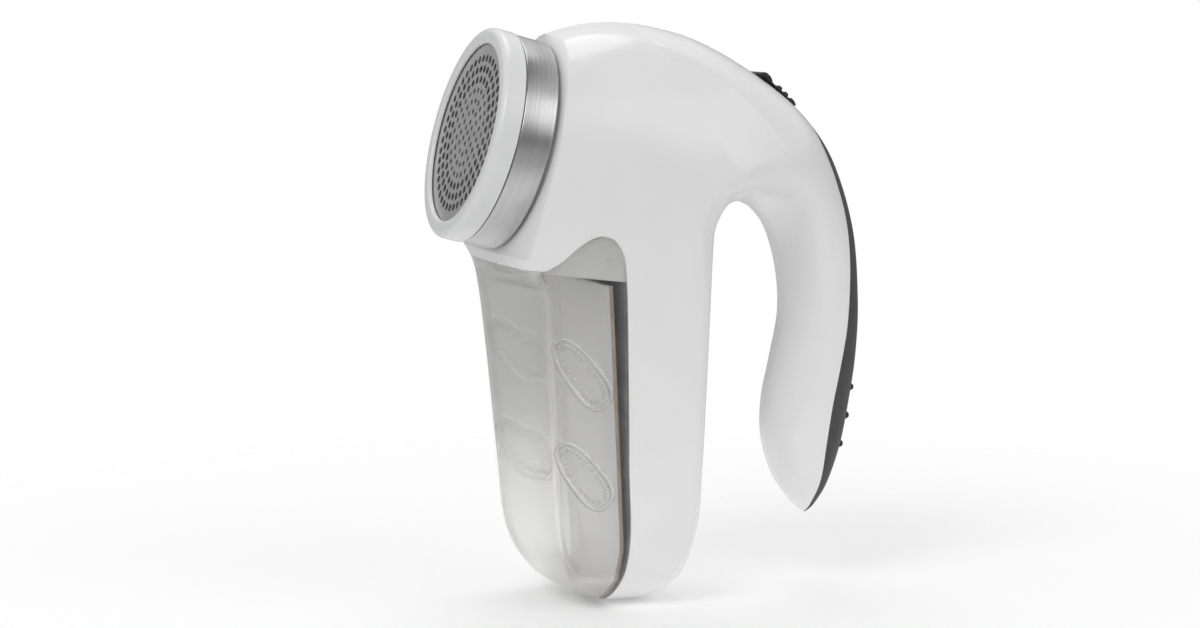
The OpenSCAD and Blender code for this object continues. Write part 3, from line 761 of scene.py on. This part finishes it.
def stadium(cy, cz, length, width, lean, count=96):
    """Round-ended outline that leans back from the vertical by lean degrees, wider at its foot."""
    a = math.radians(lean)
    long_way = np.array([-math.sin(a), math.cos(a)])
    wide_way = np.array([math.cos(a), math.sin(a)])
    out = []
    for i in range(count):
        t = 2 * math.pi * i / count
        c, s = math.cos(t), math.sin(t)
        reach = math.copysign(abs(s) ** 0.8, s) * length / 2
        share = 0.5 - 0.5 * s
        half = width / 2 * (0.72 + 0.28 * share)
        spread = math.copysign(abs(c) ** 0.75, c) * half
        out.append(np.array([cy, cz]) + long_way * reach + wide_way * spread)
    return out


def tube(path, r, sides=10):
    """Closed tube along a closed path of points in mm."""
    path = [Vector(p) for p in path]
    n = len(path)
    verts, faces = [], []
    for i, p in enumerate(path):
        along = (path[(i + 1) % n] - path[i - 1]).normalized()
        out = Vector((1, 0, 0)) - along * along.x
        out.normalize()
        across = along.cross(out)
        verts += [tuple(p + (out * math.cos(2 * math.pi * k / sides)
                             + across * math.sin(2 * math.pi * k / sides)) * r)
                  for k in range(sides)]
    for i in range(n):
        j = (i + 1) % n
        for k in range(sides):
            k2 = (k + 1) % sides
            faces.append((i * sides + k, j * sides + k, j * sides + k2, i * sides + k2))
    return verts, faces


def bumps(sites, r):
    """Small low domes."""
    verts, faces = [], []
    rows, sides = 5, 12
    for centre, side in sites:
        base = len(verts)
        for i in range(rows):
            a = math.radians(90 * i / rows)
            for k in range(sides):
                t = 2 * math.pi * k / sides
                verts.append((centre[0] + side * (0.75 * r * math.sin(a) - 0.2),
                              centre[1] + r * math.cos(a) * math.cos(t),
                              centre[2] + r * math.cos(a) * math.sin(t)))
        verts.append((centre[0] + side * (0.75 * r - 0.2), centre[1], centre[2]))
        top = len(verts) - 1
        for i in range(rows - 1):
            for k in range(sides):
                k2 = (k + 1) % sides
                faces.append((base + i * sides + k, base + i * sides + k2,
                              base + (i + 1) * sides + k2, base + (i + 1) * sides + k))
        faces += [(base + (rows - 1) * sides + k, base + (rows - 1) * sides + (k + 1) % sides, top)
                  for k in range(sides)]
        faces.append(tuple(base + k for k in range(sides - 1, -1, -1)))
    return verts, faces


def grips(surface):
    rim_v, rim_f = [], []
    bump_sites = []
    for side in (-1, 1):
        for cy, cz, length, width in GRIP_SITES:
            path = []
            for y, z in stadium(cy, cz, length, width, GRIP_LEAN):
                x = wall_x(surface, y, z, side)
                if x is not None:
                    path.append((x - side * 0.1, y, z))
            v, f = tube(path, RIM_R)
            base = len(rim_v)
            rim_v += v
            rim_f += [tuple(base + i for i in face) for face in f]
            for y, z in stadium(cy, cz, length - GRIP_INSET, width - GRIP_INSET, GRIP_LEAN,
                                GRIP_BUMPS):
                x = wall_x(surface, y, z, side)
                if x is not None:
                    bump_sites.append(((x, y, z), side))
        x = wall_x(surface, *DIMPLE, side)
        if x is not None:
            bump_sites.append(((x, *DIMPLE), side))
    rims = new_object("lint_box_grip_rims", place(rim_v), rim_f)
    finish(rims, "lint_box", "clear_plastic", angle=60)
    v, f = bumps(bump_sites, BUMP_R)
    finish(new_object("lint_box_grip_bumps", place(v), f), "lint_box", "clear_plastic", angle=60)


# ---------------------------------------------------------------- stage

def floor():
    size = 3.0
    plane = new_object("floor", [(-size, -size, 0), (size, -size, 0), (size, size, 0),
                                 (-size, size, 0)], [(0, 1, 2, 3)])
    mat = material("floor_white", [plain(0.95), plain(0.96)], (0.6, 0.66), 3,
                   Emission_Color=(1, 1, 1, 1), Emission_Strength=0.16)
    tree = mat.node_tree
    where = tree.nodes.new("ShaderNodeNewGeometry")
    length = tree.nodes.new("ShaderNodeVectorMath")
    length.operation = "LENGTH"
    tree.links.new(where.outputs["Position"], length.inputs[0])
    fade = tree.nodes.new("ShaderNodeMapRange")
    fade.interpolation_type = "SMOOTHSTEP"
    fade.inputs["From Min"].default_value = 0.08
    fade.inputs["From Max"].default_value = 0.42
    tree.links.new(length.outputs["Value"], fade.inputs["Value"])
    clear = tree.nodes.new("ShaderNodeBsdfTransparent")
    mix = tree.nodes.new("ShaderNodeMixShader")
    tree.links.new(fade.outputs["Result"], mix.inputs["Fac"])
    tree.links.new(tree.nodes["Principled BSDF"].outputs["BSDF"], mix.inputs[1])
    tree.links.new(clear.outputs["BSDF"], mix.inputs[2])
    tree.links.new(mix.outputs["Shader"], tree.nodes["Material Output"].inputs["Surface"])
    plane.data.materials.append(mat)


def world():
    """White to the eye. Reflections see a bright band above a darker horizon and ceiling."""
    space = bpy.data.worlds.new("studio")
    bpy.context.scene.world = space
    space.use_nodes = True
    tree = space.node_tree
    nodes, links = tree.nodes, tree.links
    back = nodes["Background"]
    where = nodes.new("ShaderNodeTexCoord")
    split = nodes.new("ShaderNodeSeparateXYZ")
    links.new(where.outputs["Generated"], split.inputs["Vector"])
    ramp = nodes.new("ShaderNodeValToRGB")
    span = nodes.new("ShaderNodeMapRange")
    span.inputs["From Min"].default_value = -1
    links.new(split.outputs["Z"], span.inputs["Value"])
    links.new(span.outputs["Result"], ramp.inputs["Fac"])
    stops = [(0.0, 0.6), (0.42, 0.5), (0.52, 0.2), (0.6, 0.34), (0.74, 0.85), (0.88, 0.75),
             (0.96, 0.15)]
    marks = ramp.color_ramp.elements
    while len(marks) < len(stops):
        marks.new(0.5)
    for mark, (position, value) in zip(marks, stops):
        mark.position = position
        mark.color = (value, value, value, 1)
    ray = nodes.new("ShaderNodeLightPath")
    mix = nodes.new("ShaderNodeMix")
    mix.data_type = "RGBA"
    links.new(ray.outputs["Is Camera Ray"], mix.inputs["Factor"])
    links.new(ramp.outputs["Color"], mix.inputs["A"])
    mix.inputs["B"].default_value = (1, 1, 1, 1)
    links.new(mix.outputs["Result"], back.inputs["Color"])


def area_light(name, place_at, aim, size, power):
    data = bpy.data.lights.new(name, "AREA")
    data.shape = "DISK"
    data.size = size
    data.energy = power
    lamp = bpy.data.objects.new(name, data)
    bpy.context.scene.collection.objects.link(lamp)
    lamp.location = place_at
    lamp.rotation_euler = (Vector(aim) - Vector(place_at)).to_track_quat("-Z", "Y").to_euler()


def camera():
    azimuth, elevation, distance = math.radians(70), math.radians(6.5), 0.872
    target = Vector((0, -3.9 + SHIFT, 88)) * MM
    away = Vector((math.sin(azimuth) * math.cos(elevation),
                   -math.cos(azimuth) * math.cos(elevation), math.sin(elevation)))
    data = bpy.data.cameras.new("camera")
    data.lens = 85
    cam = bpy.data.objects.new("camera", data)
    bpy.context.scene.collection.objects.link(cam)
    cam.location = target + away * distance
    cam.rotation_euler = (-away).to_track_quat("-Z", "Y").to_euler()
    bpy.context.scene.camera = cam


camera()
world()
floor()
area_light("key", (0.7, -0.9, 1.1), (0, 0, 0.1), 0.8, 5.5)
area_light("fill", (0.9, 0.9, 0.7), (0, 0, 0.1), 1.0, 2.2)
area_light("top", (-0.5, 0.1, 1.3), (0, 0, 0.1), 0.9, 3.5)

for part in record["subparts"]:
    obj = frame["nodes"][part["node"]]
    for holder in obj.material_slots:
        holder.material = MATERIALS[part["material_slot"]]

housing()
grip_pad()
grips(lint_box())
back_plate()
foil_ring()
guard()
foil()
switch()
pad_ribs()

bpy.context.scene.view_settings.view_transform = "Standard"
